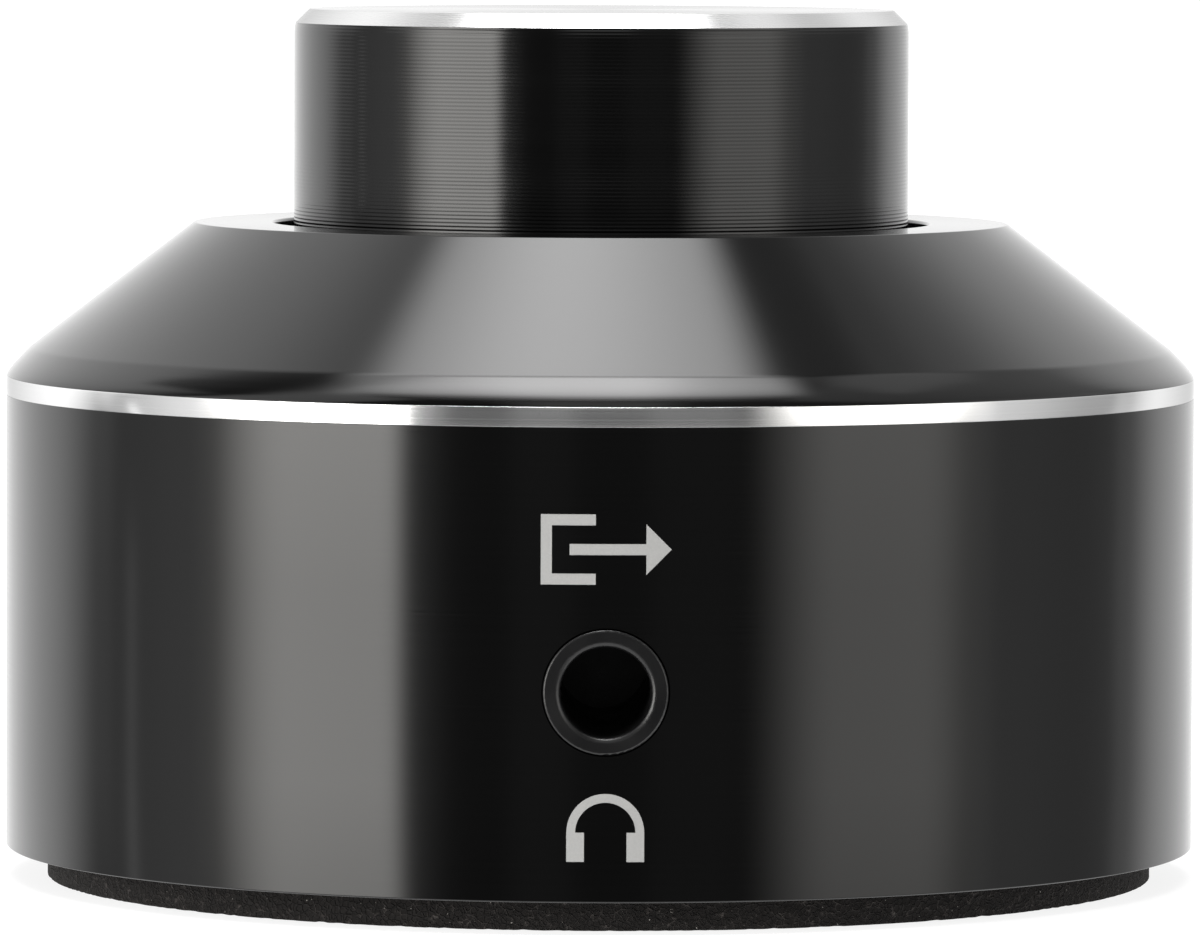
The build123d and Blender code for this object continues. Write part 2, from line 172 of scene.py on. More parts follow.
# Studio: levels of the lights
SURROUND_LOW = 0.07
SURROUND_HIGH = 0.11
BACKDROP_LEFT = 1.33
BACKDROP_RIGHT = 1.19
BACKDROP_TOP_GAIN = 1.07
BACKDROP_GAP = 0.76
BACKDROP_FACING = (-0.08, 1, 0.09)
LEFT_BOX = 6.15
RIGHT_BOX = 2.05
LEFT_TAIL = 0.3
LEFT_FAR = (0.36, 0.69)
RIGHT_FAR = (0.52, 0.27)
FRONT_LEFT = 0.06
FRONT_RIGHT = 0.05
LEFT_SLIT = 0.58
OVERHEAD = 8.65
OVERHEAD_FRONT = 0.12
OVERHEAD_MIDDLE = 0.45
OVERHEAD_SEAM = 0.45
FRONT_TOP = 0.85
RIGHT_WALL = 0.57
RIGHT_DIM = 0.09
RIGHT_TOP = 0.5
LEFT_TOP = 1.27
BELOW = 1.5
WHITE = (1, 1, 1, 1)
BOX_WHITE = (1, 0.985, 0.955, 1)

# Studio: arcs of the lights in degrees from the front: first, last, blur before, blur after
LEFT_BOX_ARC = (-62.5, -41.5, 23, 5)
RIGHT_BOX_ARC = (46, 63, 20, 20)
LEFT_TAIL_ARC = (-42, -38, 4, 11)
LEFT_FAR_ARC = (-109, -84, 6, 6)
RIGHT_FAR_ARC = (80, 118, 8, 6)
FRONT_LEFT_ARC = (-15, -8, 5, 5)
FRONT_RIGHT_ARC = (12, 22, 6, 6)
LEFT_SLIT_ARC = (-103, -101.5, 1.5, 1.5)
LEFT_TOP_ARC = (-140, -64, 10, 10)
OVERHEAD_ARC = (84, 112, 14, 8)
OVERHEAD_SEAM_ARC = (94.5, 98.5, 2, 2)
FRONT_TOP_ARC = (30, 62, 20, 10)

# Floor and camera
FLOOR_HALF = 4.0
FLOOR_GLOW = 0.86
FLOOR_GREY = (0.18, 0.18, 0.18, 1)
CAMERA_PLACE = Vector((-4.4, -418.2, 42.75)) * MM
CAMERA_PITCH = math.radians(3.505)
CAMERA_ROLL = math.radians(0.217)
CAMERA_SENSOR = 36.0
CAMERA_LENS = 298.05


# Node helpers
def add(tree, kind, sockets=None, **settings):
    """A new node. Sockets take a constant, or another node's output to link."""
    made = tree.nodes.new(kind)
    for key, value in settings.items():
        setattr(made, key, value)
    for socket, value in (sockets or {}).items():
        if isinstance(value, bpy.types.NodeSocket):
            tree.links.new(value, made.inputs[socket])
        else:
            made.inputs[socket].default_value = value
    return made


def new_material(name, **constants):
    """A material with constants on its shader's own sockets."""
    material = bpy.data.materials.new(name)
    material.use_nodes = True
    shader = material.node_tree.nodes["Principled BSDF"]
    for socket, value in constants.items():
        shader.inputs[socket.replace("_", " ")].default_value = value
    return material, material.node_tree, shader


def math_node(tree, operation, first, second=0.0):
    return add(tree, "ShaderNodeMath", {0: first, 1: second}, operation=operation).outputs[0]


def remap(tree, value, low, high, to_low, to_high, smooth=False):
    """A value taken from one range to another, and held at its ends."""
    sockets = {
        "Value": value,
        "From Min": low,
        "From Max": high,
        "To Min": to_low,
        "To Max": to_high,
    }
    kind = "SMOOTHSTEP" if smooth else "LINEAR"
    return add(tree, "ShaderNodeMapRange", sockets, interpolation_type=kind).outputs["Result"]


def object_place(tree):
    return add(tree, "ShaderNodeTexCoord").outputs["Object"]


def turned_place(tree):
    """Height less radius: it changes along every face of a turned piece, across its grooves."""
    place = object_place(tree)
    flat = add(tree, "ShaderNodeVectorMath", {0: place, 1: (1, 1, 0)}, operation="MULTIPLY")
    length = add(tree, "ShaderNodeVectorMath", {0: flat.outputs[0]}, operation="LENGTH")
    height = add(tree, "ShaderNodeSeparateXYZ", {0: place}).outputs["Z"]
    return math_node(tree, "SUBTRACT", height, length.outputs["Value"])


def groove_noise(tree, pitch):
    """Random lines round a turned piece, about one pitch apart."""
    along = math_node(tree, "DIVIDE", turned_place(tree), pitch)
    sockets = {"W": along, "Scale": 1.0, "Detail": 2.0, "Roughness": NOISE_FALL}
    return add(tree, "ShaderNodeTexNoise", sockets, noise_dimensions="1D").outputs[0]


def speckle(tree, size, detail=3.0):
    """Random spots of about one size."""
    sockets = {
        "Vector": object_place(tree),
        "Scale": 1 / size,
        "Detail": detail,
        "Roughness": NOISE_FALL,
    }
    return add(tree, "ShaderNodeTexNoise", sockets).outputs[0]


def set_colour(tree, shader, factor, dark, light):
    """A base colour between two shades."""
    ramp = add(tree, "ShaderNodeValToRGB", {0: factor})
    ramp.color_ramp.elements[0].color = (*dark, 1)
    ramp.color_ramp.elements[1].color = (*light, 1)
    tree.links.new(ramp.outputs["Color"], shader.inputs["Base Color"])


def set_roughness(tree, shader, noise_level, low, high):
    """A roughness that strays between two values."""
    rough = remap(tree, noise_level, NOISE_LOW, NOISE_HIGH, low, high)
    tree.links.new(rough, shader.inputs["Roughness"])


def set_bump(tree, shader, height, depth):
    bump = add(tree, "ShaderNodeBump", {"Height": height, "Distance": depth, "Strength": 1.0})
    tree.links.new(bump.outputs["Normal"], shader.inputs["Normal"])


def set_grooved(tree, shader, amount):
    """Smears reflections across the grooves that run round the Z axis."""
    tangent = add(tree, "ShaderNodeTangent", direction_type="RADIAL", axis="Z")
    tree.links.new(tangent.outputs[0], shader.inputs["Tangent"])
    shader.inputs["Anisotropic"].default_value = amount
    shader.inputs["Anisotropic Rotation"].default_value = QUARTER_TURN


def grey(level):
    return (level, level, level)


# Materials that show
def black_turned(name, pitch, roughness, grooved, depth):
    """Black anodised aluminium with fine turning lines."""
    material, tree, shader = new_material(name, IOR=BLACK_IOR)
    lines = groove_noise(tree, pitch)
    set_colour(tree, shader, lines, BLACK_DARK, BLACK_LIGHT)
    set_roughness(tree, shader, lines, 0.9 * roughness, 1.1 * roughness)
    set_bump(tree, shader, lines, depth)
    set_grooved(tree, shader, grooved)
    return material


def black_feed_marked(name, pitch, roughness, grooved, depth):
    """Black anodised aluminium with the even feed marks of a lathe, deeper towards the foot."""
    material, tree, shader = new_material(name, IOR=BLACK_IOR)
    along = turned_place(tree)
    wave = math_node(tree, "SINE", math_node(tree, "MULTIPLY", along, 2 * math.pi / pitch))
    patches = groove_noise(tree, 14 * pitch)
    foot = COVER_HIGH - KNOB_RADIUS
    fade = remap(tree, along, foot, foot + FEED_FADE, FEED_AT_FOOT, FEED_ABOVE, smooth=True)
    uneven = remap(tree, patches, NOISE_LOW, NOISE_HIGH, 0.75, 1.25)
    deep = math_node(tree, "MULTIPLY", fade, uneven)
    fine = math_node(tree, "MULTIPLY", groove_noise(tree, 0.4 * pitch), 0.4)
    height = math_node(tree, "ADD", math_node(tree, "MULTIPLY", wave, deep), fine)
    set_colour(tree, shader, patches, BLACK_DARK, BLACK_LIGHT)
    set_roughness(tree, shader, patches, 0.9 * roughness, 1.1 * roughness)
    set_bump(tree, shader, height, depth)
    set_grooved(tree, shader, grooved)
    return material


def bright_cut(name, dark, light, pitch, roughness, grooved, depth):
    """Bare aluminium with the lines of the cutting tool, duller where it is seen at a slant."""
    material, tree, shader = new_material(name, Metallic=1.0, Specular_Tint=BRIGHT_EDGE_TINT)
    lines = groove_noise(tree, pitch)
    set_colour(tree, shader, lines, grey(dark), grey(light))
    set_roughness(tree, shader, lines, 0.8 * roughness, 1.2 * roughness)
    set_bump(tree, shader, lines, depth)
    set_grooved(tree, shader, grooved)
    return material


def open_cell_foam():
    """Matt black foam with pits between thin walls, and a little dust. The walls carry a painted
    highlight and the pits a painted shade; the dust is real.
    """
    material, tree, shader = new_material("foam_black", Roughness=0.95, Specular_IOR_Level=0.28)
    sockets = {"Vector": object_place(tree), "Scale": 1 / FOAM_CELL}
    cells = add(tree, "ShaderNodeTexVoronoi", sockets, feature="DISTANCE_TO_EDGE")
    walls = remap(tree, cells.outputs["Distance"], 0.0, 0.16, 1.0, 0.0, smooth=True)
    grain = speckle(tree, FOAM_GRAIN, 4.0)
    uneven = remap(tree, grain, 0.45, 0.7, 0.0, 1.0, smooth=True)
    # Painted highlight: the cell walls are coloured paler as if lit, so the pits between them read
    # as painted shade
    lit = math_node(tree, "MULTIPLY", walls, uneven)
    painted_wall_highlight = math_node(tree, "MULTIPLY", lit, FOAM_PAINTED_HIGHLIGHT_STOP)
    dust = remap(tree, speckle(tree, FOAM_DUST, 1.0), 0.73, 0.8, 0.0, 1.0, smooth=True)
    ramp = add(tree, "ShaderNodeValToRGB", {0: math_node(tree, "MAXIMUM", painted_wall_highlight, dust)})
    stops = ramp.color_ramp.elements
    # Stops: pits in painted shade, then the walls' painted highlight, then the real dust
    stops[0].color = (0.0085, 0.0073, 0.0068, 1)
    stops[1].color = (0.3, 0.29, 0.27, 1)
    stops.new(FOAM_PAINTED_HIGHLIGHT_STOP).color = (0.055, 0.049, 0.046, 1)
    tree.links.new(ramp.outputs["Color"], shader.inputs["Base Color"])
    height = math_node(tree, "ADD", walls, math_node(tree, "MULTIPLY", grain, 0.8))
    set_bump(tree, shader, height, FOAM_RELIEF)
    return material


def moulded_plastic(name, dark, light, roughness):
    """Plastic with the fine grain of its mould."""
    material, tree, shader = new_material(name, IOR=1.5)
    fine = speckle(tree, MOULD_GRAIN)
    broad = speckle(tree, 20 * MOULD_GRAIN, 2.0)
    set_colour(tree, shader, broad, dark, light)
    set_roughness(tree, shader, broad, 0.85 * roughness, 1.15 * roughness)
    set_bump(tree, shader, fine, MOULD_RELIEF)
    return material


def printed_ink():
    """Pale screen-printed ink, slightly uneven."""
    material, tree, shader = new_material("printed_mark", Roughness=0.55)
    grain = speckle(tree, INK_GRAIN)
    set_colour(tree, shader, grain, grey(0.33), (0.44, 0.44, 0.43))
    set_bump(tree, shader, grain, FINE_RELIEF)
    return material


# Materials of what is inside
def plated_metal(name, dark, light, roughness):
    """Plated metal with cloudy tarnish and fine pitting."""
    material, tree, shader = new_material(name, Metallic=1.0)
    cloud = speckle(tree, 4 * PLATE_GRAIN)
    fine = speckle(tree, 0.2 * PLATE_GRAIN, 2.0)
    set_colour(tree, shader, cloud, dark, light)
    set_roughness(tree, shader, cloud, 0.8 * roughness, 1.25 * roughness)
    set_bump(tree, shader, fine, FINE_RELIEF)
    return material


def turned_metal(name, dark, light, pitch, roughness):
    """Bare metal with the lines of a lathe."""
    material, tree, shader = new_material(name, Metallic=1.0)
    lines = groove_noise(tree, pitch)
    set_colour(tree, shader, lines, dark, light)
    set_roughness(tree, shader, lines, 0.8 * roughness, 1.2 * roughness)
    set_bump(tree, shader, lines, FINE_RELIEF)
    return material


def phenolic_paper():
    """Brown laminate with long paper fibres."""
    material, tree, shader = new_material("wafer_phenolic", Roughness=0.55)
    sockets = {0: object_place(tree), 1: PAPER_FIBRES}
    stretched = add(tree, "ShaderNodeVectorMath", sockets, operation="MULTIPLY")
    sockets = {"Vector": stretched.outputs[0], "Scale": 1.0, "Detail": 4.0}
    fibres = add(tree, "ShaderNodeTexNoise", sockets).outputs[0]
    set_colour(tree, shader, fibres, (0.2, 0.1, 0.04), (0.42, 0.25, 0.12))
    set_bump(tree, shader, fibres, PAPER_RELIEF)
    return material


def solder_mask():
    """Green lacquer over glass weave, with paler tracks showing through."""
    material, tree, shader = new_material("board_green", Roughness=0.32, Coat_Weight=0.3)
    place = object_place(tree)
    checker = add(tree, "ShaderNodeTexChecker", {"Vector": place, "Scale": 1 / BOARD_WEAVE})
    sockets = {"Vector": place, "Scale": 1 / BOARD_TRACK, "Mortar Size": 0.1}
    brick = add(tree, "ShaderNodeTexBrick", sockets)
    weave = math_node(tree, "MULTIPLY", checker.outputs["Fac"], 0.15)
    tracks = math_node(tree, "MULTIPLY", brick.outputs["Fac"], 0.7)
    mixed = math_node(tree, "ADD", weave, tracks)
    set_colour(tree, shader, mixed, (0.012, 0.1, 0.045), (0.05, 0.26, 0.12))
    set_bump(tree, shader, mixed, BOARD_RELIEF)
    return material


# Finishes: pitch of the lines, roughness, smear across them and their depth
WALL_BLACK = black_turned("wall_black", 0.11 * MM, 0.15, 0.5, 0.0003 * MM)
COVER_BLACK = black_turned("cover_black", 0.06 * MM, 0.13, 0.5, 0.0002 * MM)
KNOB_BLACK = black_feed_marked("knob_black", 0.154 * MM, 0.15, 0.5, 0.0022 * MM)
KNOB_TOP_BLACK = black_turned("knob_top_black", 0.1 * MM, 0.13, 0.6, 0.0003 * MM)
PLATE_BLACK = black_turned("plate_black", 0.2 * MM, 0.34, 0.6, 0.003 * MM)
CHAMFER_BRIGHT = bright_cut("chamfer_bright", 0.74, 0.81, 0.05 * MM, 0.25, 0.6, 0.0006 * MM)
RING_BRIGHT = bright_cut("ring_bright", 0.9, 0.97, 0.09 * MM, 0.16, 0.9, 0.0006 * MM)
FOAM = open_cell_foam()
SOCKET_BLACK = moulded_plastic("socket_black", (0.003, 0.003, 0.0033), (0.006, 0.006, 0.0063), 0.3)
PRINT = printed_ink()
CONTACT_NICKEL = plated_metal("contact_nickel", (0.55, 0.52, 0.45), (0.76, 0.73, 0.66), 0.28)
STEEL_ZINC = plated_metal("steel_zinc", (0.5, 0.5, 0.52), (0.68, 0.68, 0.69), 0.32)
BRASS = turned_metal("brass_turned", (0.62, 0.45, 0.2), (0.82, 0.64, 0.34), 0.12 * MM, 0.25)
SHAFT = turned_metal("shaft_turned", (0.62, 0.62, 0.63), (0.8, 0.8, 0.81), 0.14 * MM, 0.26)
POT_BLACK = moulded_plastic("pot_black", (0.04, 0.04, 0.045), (0.07, 0.07, 0.075), 0.5)
ROTOR_CREAM = moulded_plastic("rotor_cream", (0.68, 0.65, 0.57), (0.82, 0.8, 0.73), 0.45)

SLOT_FINISHES = {
    "contact_metal": CONTACT_NICKEL,
    "steel": STEEL_ZINC,
    "brass": BRASS,
    "shaft_metal": SHAFT,
    "pot_plastic": POT_BLACK,
    "rotor_plastic": ROTOR_CREAM,
    "wafer": phenolic_paper(),
    "board": solder_mask(),
    "socket_plastic": SOCKET_BLACK,
    "black_anodised": PLATE_BLACK,
    "polished_ring": RING_BRIGHT,
    "foam": FOAM,
}


def dress_frame():
    """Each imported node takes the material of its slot."""
    for row in frame["record"]["subparts"]:
        mesh = nodes[row["node"]].data
        mesh.materials.clear()
        mesh.materials.append(SLOT_FINISHES[row["material_slot"]])


# Mesh helpers
def rounded(corners):
    """An outline from (radius, height, rounding) corners of a closed loop."""
    outline = []
    for number, (radius, height, rounding) in enumerate(corners):
        here = Vector((radius, height))
        if not rounding:
            outline.append(here)
            continue
        back = (Vector(corners[number - 1][:2]) - here).normalized()
        ahead = (Vector(corners[(number + 1) % len(corners)][:2]) - here).normalized()
        half = back.angle(ahead) / 2
        centre = here + (back + ahead).normalized() * rounding / math.sin(half)
        start = here + back * rounding / math.tan(half) - centre
        end = here + ahead * rounding / math.tan(half) - centre
        outline += sweep_arc(centre, start, end)
    return outline


def sweep_arc(centre, start, end):
    """Points on the arc about a centre, from one spoke to another."""
    first = start.normalized()
    last = end.normalized()
    shares = [step / ROUND_STEPS for step in range(ROUND_STEPS + 1)]
    return [centre + first.slerp(last, share) * start.length for share in shares]


def shoulder_curve(upper, lower):
    """Points past upper, down to lower. The normal's climb follows COVER_EDGE_TURN."""
    widths = [0.0]
    for step in range(SHOULDER_STEPS):
        share = (step + 0.5) / SHOULDER_STEPS
        for (here, climb), (ahead, next_climb) in zip(COVER_EDGE_TURN, COVER_EDGE_TURN[1:]):
            if here <= share < ahead:
                climb += (next_climb - climb) * (share - here) / (ahead - here)
                widths.append(widths[-1] + math.tan(math.radians(climb)))
    span = lower - upper
    points = []
    for step, width in enumerate(widths):
        points.append(upper + Vector((span.x * width / widths[-1], span.y * step / SHOULDER_STEPS)))
    return points[1:]


def held(outline):
    """Adds a point beside each end of a long run, so that shading stays flat between soft edges."""
    points = []
    for here, ahead in zip(outline, outline[1:] + outline[:1]):
        here = Vector(here)
        run = Vector(ahead) - here
        points.append(here)
        if run.length > 6 * HOLD_REACH:
            step = run.normalized() * HOLD_REACH
            points += [here + step, here + run - step]
    return points


def finish_mesh(name, mesh, materials, body, replaced=()):
    """Closes a bmesh into a smooth piece that rides on a body."""
    bmesh.ops.recalc_face_normals(mesh, faces=mesh.faces)
    data = bpy.data.meshes.new(name)
    mesh.to_mesh(data)
    mesh.free()
    for material in materials:
        data.materials.append(material)
    data.shade_smooth()
    data.set_sharp_from_angle(angle=SHARP_ANGLE)
    piece = bpy.data.objects.new(name, data)
    bpy.context.scene.collection.objects.link(piece)
    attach(piece, body)
    if replaced:
        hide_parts(*replaced)
    return piece


def around(step, count):
    """Direction of a step round the Z axis, from the front."""
    turn = 2 * math.pi * step / count
    return math.sin(turn), -math.cos(turn)


def turned_rows(mesh, outline, count):
    """A row of vertices round the Z axis for each (radius, height), or one on the axis."""
    rows = []
    for radius, height in outline:
        steps = count if radius > 0 else 1
        places = [around(step, count) for step in range(steps)]
        rows.append([mesh.verts.new((radius * x, radius * y, height)) for x, y in places])
    return rows


def turned_mesh(outline, count=TURN_STEPS):
    """A closed (radius, height) outline turned about the Z axis."""
    mesh = bmesh.new()
    rows = turned_rows(mesh, outline, count)
    for lower, upper in zip(rows, rows[1:] + rows[:1]):
        for step in range(count):
            ahead = (step + 1) % count
            corners = [
                lower[step % len(lower)],
                lower[ahead % len(lower)],
                upper[ahead % len(upper)],
                upper[step % len(upper)],
            ]
            corners = list(dict.fromkeys(corners))
            if len(corners) > 2:
                mesh.faces.new(corners)
    return mesh


def bridge(mesh, first, second):
    """Faces between two loops of as many vertices."""
    count = len(first)
    for step in range(count):
        ahead = (step + 1) % count
        mesh.faces.new((first[step], first[ahead], second[ahead], second[step]))


# Case
def make_ring():
    """The bright ring, its face a hair crowned."""
    radius = BODY_RADIUS - SKIN
    face = []
    for step in range(1, RING_STEPS):
        share = step / RING_STEPS
        crown = 4 * RING_CROWN * share * (1 - share)
        face.append((radius - RING_CROWN + crown, RING_LOW + (RING_HIGH - RING_LOW) * share, 0))
    outline = rounded(
        [
            (radius - BODY_WALL, RING_LOW, 0),
            (radius - RING_CROWN, RING_LOW, RING_LOW_BREAK),
            *face,
            (radius - RING_CROWN, RING_HIGH, RING_TOP_BREAK),
            (radius - BODY_WALL, RING_HIGH, 0),
        ]
    )
    mesh = turned_mesh(held(outline))
    finish_mesh("ring_band", mesh, [RING_BRIGHT], "case", ["trim_ring"])


def make_cover():
    """The cone with its rounded shoulder, flat land and recess for the knob."""
    recess = KNOB_RADIUS + RECESS_GAP
    rim = recess + COVER_LAND
    spigot = BODY_RADIUS - BODY_WALL - SPIGOT_GAP
    crease = Vector((BODY_RADIUS - COVER_EDGE_INSET, RING_HIGH + COVER_EDGE_RISE))
    edge = Vector((BODY_RADIUS - COVER_REVEAL, RING_HIGH))
    corners = [
        (spigot, RING_HIGH, 0),
        (spigot, COVER_LOW, 0),
        (spigot - SPIGOT_WALL, COVER_LOW, 0),
        (spigot - SPIGOT_WALL, FRAME_HIGH, 0),
        (BUSH_HOLE, FRAME_HIGH, 0),
        (BUSH_HOLE, WASHER_LOW, 0),
        (recess, WASHER_LOW, 0),
        (recess, COVER_HIGH, COVER_RIM),
        (rim, COVER_HIGH, COVER_RIM),
        (*crease, 0),
    ]
    outline = rounded(corners) + shoulder_curve(crease, edge)
    mesh = turned_mesh(held(outline))
    finish_mesh("cover_shell", mesh, [COVER_BLACK], "case", ["top_cover"])


def window_heights():
    """Even heights of the rows in the window round each socket."""
    half = BODY_RADIUS * math.sin(2 * math.pi * WINDOW_COLUMNS / TURN_STEPS)
    first = JACK_HEIGHT - half
    return [first + 2 * half * row / WINDOW_ROWS for row in range(WINDOW_ROWS + 1)]


def window_border():
    """(column, row) steps once round the window, from its middle."""
    columns = WINDOW_COLUMNS
    rows = WINDOW_ROWS // 2
    border = [(column, -rows) for column in range(-columns, columns)]
    border += [(columns, row) for row in range(-rows, rows)]
    border += [(column, rows) for column in range(columns, -columns, -1)]
    border += [(-columns, row) for row in range(rows, -rows, -1)]
    return border


def pierce(mesh, window, radius, middle, rim):
    """Fills the window in a wall's rows up to a round hole, and returns the hole's loop."""
    side = 1 if middle == 0 else -1
    loop = []
    spokes = []
    for column, row in window_border():
        vertex = window[row + WINDOW_ROWS // 2][(middle + column) % TURN_STEPS]
        loop.append(vertex)
        turn = math.atan2(row / (WINDOW_ROWS / 2), column / WINDOW_COLUMNS)
        rim_x = rim * math.cos(turn)
        rim_z = JACK_HEIGHT + rim * math.sin(turn)
        spokes.append((side * vertex.co.x, vertex.co.z, rim_x, rim_z))
    for step in range(1, WINDOW_LOOPS + 1):
        share = step / WINDOW_LOOPS
        inner = []
        for x, z, rim_x, rim_z in spokes:
            across = x + (rim_x - x) * share
            height = z + (rim_z - z) * share
            depth = math.sqrt(radius**2 - across**2)
            inner.append(mesh.verts.new((side * across, -side * depth, height)))
        bridge(mesh, loop, inner)
        loop = inner
    return loop


def body_outline(outer, inner):
    """The wall's outline, and the first rows of its outer and inner windows."""
    rebate = BASE_RADIUS + REBATE_GAP
    low_edge = rounded(
        [
            (rebate, BODY_LOW, 0),
            (outer, BODY_LOW, BODY_BREAK),
            (outer, JACK_HEIGHT, 0),
            (rebate, JACK_HEIGHT, 0),
        ]
    )
    high_edge = rounded(
        [
            (inner, JACK_HEIGHT, 0),
            (outer, JACK_HEIGHT, 0),
            (outer, BODY_HIGH, BODY_TOP_BREAK),
            (inner, BODY_HIGH, 0),
        ]
    )
    outline = low_edge[:-2]
    outer_row = len(outline)
    outline += [(outer, height) for height in window_heights()]
    outline += high_edge[2:]
    inner_row = len(outline)
    outline += [(inner, height) for height in reversed(window_heights())]
    outline += [(inner, BASE_TOP), (rebate, BASE_TOP)]
    return outline, outer_row, inner_row


def broken_edge(mesh, loop):
    """A second loop behind a hole's edge, narrower by the edge's break."""
    narrow = []
    for vertex in loop:
        out = Vector((vertex.co.x, 0, vertex.co.z - JACK_HEIGHT))
        inward = -HOLE_BREAK if vertex.co.y > 0 else HOLE_BREAK
        place = vertex.co - out.normalized() * HOLE_BREAK + Vector((0, inward, 0))
        narrow.append(mesh.verts.new(place))
    return narrow


def make_body():
    """The case's wall, with a hole for each socket's nose."""
    outer = BODY_RADIUS - FILM
    inner = BODY_RADIUS - BODY_WALL
    outline, outer_row, inner_row = body_outline(outer, inner)
    mesh = bmesh.new()
    rows = turned_rows(mesh, outline, TURN_STEPS)
    for number, row in enumerate(rows):
        upper = rows[(number + 1) % len(rows)]
        windowed = any(0 <= number - start < WINDOW_ROWS for start in (outer_row, inner_row))
        for step in range(TURN_STEPS):
            from_socket = (step + WINDOW_COLUMNS) % (TURN_STEPS // 2)
            if windowed and from_socket < 2 * WINDOW_COLUMNS:
                continue
            ahead = (step + 1) % TURN_STEPS
            mesh.faces.new((row[step], row[ahead], upper[ahead], upper[step]))
    outer_window = rows[outer_row : outer_row + WINDOW_ROWS + 1]
    inner_window = rows[inner_row : inner_row + WINDOW_ROWS + 1][::-1]
    for middle in (0, TURN_STEPS // 2):
        wide = pierce(mesh, outer_window, outer, middle, NOSE_HOLE + HOLE_BREAK)
        deep = pierce(mesh, inner_window, inner, middle, NOSE_HOLE)
        narrow = broken_edge(mesh, wide)
        bridge(mesh, wide, narrow)
        bridge(mesh, narrow, deep)
    finish_mesh("body_shell", mesh, [WALL_BLACK], "case", ["lower_body"])


def make_pad():
    """The foam disc, its faces and rim pitted by open cells."""
    corners = [
        (0, 0, 0),
        (PAD_RADIUS, 0, PAD_EDGE),
        (PAD_RADIUS, PAD_HIGH, PAD_EDGE),
        (0, PAD_HIGH, 0),
    ]
    edges = rounded(corners)[1:-1]
    under = [(PAD_RADIUS * row / PAD_FACE_ROWS, 0.0) for row in range(PAD_FACE_ROWS)]
    rim = []
    for row in range(1, PAD_RIM_ROWS):
        rim.append((PAD_RADIUS, PAD_EDGE + (PAD_HIGH - 2 * PAD_EDGE) * row / PAD_RIM_ROWS))
    top = [(radius, PAD_HIGH) for radius, _ in reversed(under)]
    low_edge = edges[: ROUND_STEPS + 1]
    high_edge = edges[ROUND_STEPS + 1 :]
    mesh = turned_mesh(under + low_edge + rim + high_edge + top, PAD_STEPS)
    roughen_foam(mesh)
    pad = finish_mesh("foam_disc", mesh, [FOAM], "case", ["foam_pad"])


def roughen_foam(mesh):
    """Sinks each surface point by a noise of cells, so nothing stands proud."""
    mesh.normal_update()
    for vertex in mesh.verts:
        pit = max(0.0, noise.noise(vertex.co / PIT_SIZE))
        fine = max(0.0, noise.noise(vertex.co / (0.4 * PIT_SIZE)))
        vertex.co -= vertex.normal * PIT_DEPTH * (pit + 0.6 * fine)
        vertex.co.z = min(max(vertex.co.z, 0.0), PAD_HIGH)


# Printed marks: plain pictograms of strokes, in millimetres from the socket's axis
def bar(left, low, right, high):
    return [(left, low), (right, low), (right, high), (left, high)]


def half_band(inner, outer, base):
    """The upper half of a ring, standing on a base line."""
    turns = [math.pi * step / BAND_STEPS for step in range(BAND_STEPS + 1)]
    rise = [(outer * math.cos(turn), base + outer * math.sin(turn)) for turn in turns]
    back = [(inner * math.cos(turn), base + inner * math.sin(turn)) for turn in reversed(turns)]
    return rise + back


def open_box():
    """A box that is open to the right."""
    base = OUT_MARK_BASE
    stroke = MARK_STROKE
    top = base + OUT_MARK_HEIGHT
    left = -OUT_MARK_WIDTH / 2
    return [
        (left, base),
        (left + BOX_ARM, base),
        (left + BOX_ARM, base + stroke),
        (left + stroke, base + stroke),
        (left + stroke, top - stroke),
        (left + BOX_ARM, top - stroke),
        (left + BOX_ARM, top),
        (left, top),
    ]


def output_mark():
    """An arrow that leaves an open box."""
    stroke = MARK_STROKE
    middle = OUT_MARK_BASE + OUT_MARK_HEIGHT / 2
    half = OUT_MARK_WIDTH / 2
    neck = half - ARROW_HEAD
    shaft = bar(-half + 2.6 * stroke, middle - stroke / 2, neck, middle + stroke / 2)
    point = [(neck, middle - ARROW_HEAD), (half, middle), (neck, middle + ARROW_HEAD)]
    return [open_box(), shaft, point]


def input_mark():
    """An arrow that enters an open box: the output mark with its arrow turned round."""
    stroke = MARK_STROKE
    middle = OUT_MARK_BASE + OUT_MARK_HEIGHT / 2
    half = OUT_MARK_WIDTH / 2
    tip = -half + 2.2 * stroke
    neck = tip + ARROW_HEAD
    shaft = bar(neck, middle - stroke / 2, half, middle + stroke / 2)
    point = [(neck, middle + ARROW_HEAD), (tip, middle), (neck, middle - ARROW_HEAD)]
    return [open_box(), shaft, point]


def headphone_mark():
    """A head band with two ear pads."""
    outer = LOW_MARK_WIDTH / 2
    band_base = LOW_MARK_BASE + LOW_MARK_HEIGHT - outer
    band = half_band(outer - HEAD_BAND, outer, band_base)
    pads = []
    for side in (-1, 1):
        left = min(side * outer, side * (outer - EAR_PAD))
        pads.append(bar(left, LOW_MARK_BASE, left + EAR_PAD, band_base))
    return [band, *pads]


